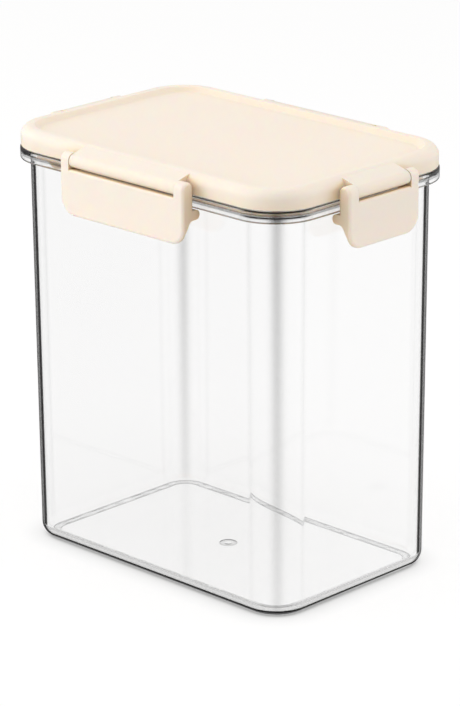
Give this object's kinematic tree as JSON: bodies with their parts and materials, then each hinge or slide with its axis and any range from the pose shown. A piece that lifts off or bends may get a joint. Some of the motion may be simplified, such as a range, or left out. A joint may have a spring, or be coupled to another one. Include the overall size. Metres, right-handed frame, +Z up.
{
  "type": "food storage container",
  "caption": "Tall clear rectangular food storage container with rounded corners and a cream lid, recessed on top for stacking and held down by a hinged snap latch on every side.",
  "frame": {"origin": "on the table, under the middle of the base", "axes": "+Z up through the lid, X along the long side, -Y towards the front long side"},
  "size_m": [0.1922, 0.1348, 0.2],
  "materials": {
    "clear_plastic": "clear, polished",
    "cream_plastic": "satin",
    "soft_seal": "soft, matte"
  },
  "bodies": {
    "container": {"container_body": "clear_plastic"},
    "lid": {"lid": "cream_plastic", "lid_gasket": "soft_seal"},
    "front_latch": {"latch_front": "cream_plastic"},
    "back_latch": {"latch_back": "cream_plastic"},
    "right_latch": {"latch_right": "cream_plastic"},
    "left_latch": {"latch_left": "cream_plastic"}
  },
  "joints": [
    {"name": "lid_lift", "type": "slide", "parent": "container", "child": "lid", "axis": [0, 0, 1], "range_m": [0, 0.03]},
    {"name": "front_latch_swing", "type": "hinge", "parent": "lid", "child": "front_latch", "pos_m": [0, -0.064, 0.1941], "axis": [-1, 0, 0], "range_deg": [0, 160]},
    {"name": "back_latch_swing", "type": "hinge", "parent": "lid", "child": "back_latch", "pos_m": [0, 0.064, 0.1941], "axis": [1, 0, 0], "range_deg": [0, 160]},
    {"name": "right_latch_swing", "type": "hinge", "parent": "lid", "child": "right_latch", "pos_m": [0.09265, 0, 0.1941], "axis": [0, -1, 0], "range_deg": [0, 160]},
    {"name": "left_latch_swing", "type": "hinge", "parent": "lid", "child": "left_latch", "pos_m": [-0.09265, 0, 0.1941], "axis": [0, 1, 0], "range_deg": [0, 160]}
  ],
  "couplings": [
    {"joint": "front_latch_swing", "follows": "lid_lift", "rad_per_m": 93.08},
    {"joint": "back_latch_swing", "follows": "lid_lift", "rad_per_m": 93.08},
    {"joint": "right_latch_swing", "follows": "lid_lift", "rad_per_m": 93.08},
    {"joint": "left_latch_swing", "follows": "lid_lift", "rad_per_m": 93.08}
  ]
}
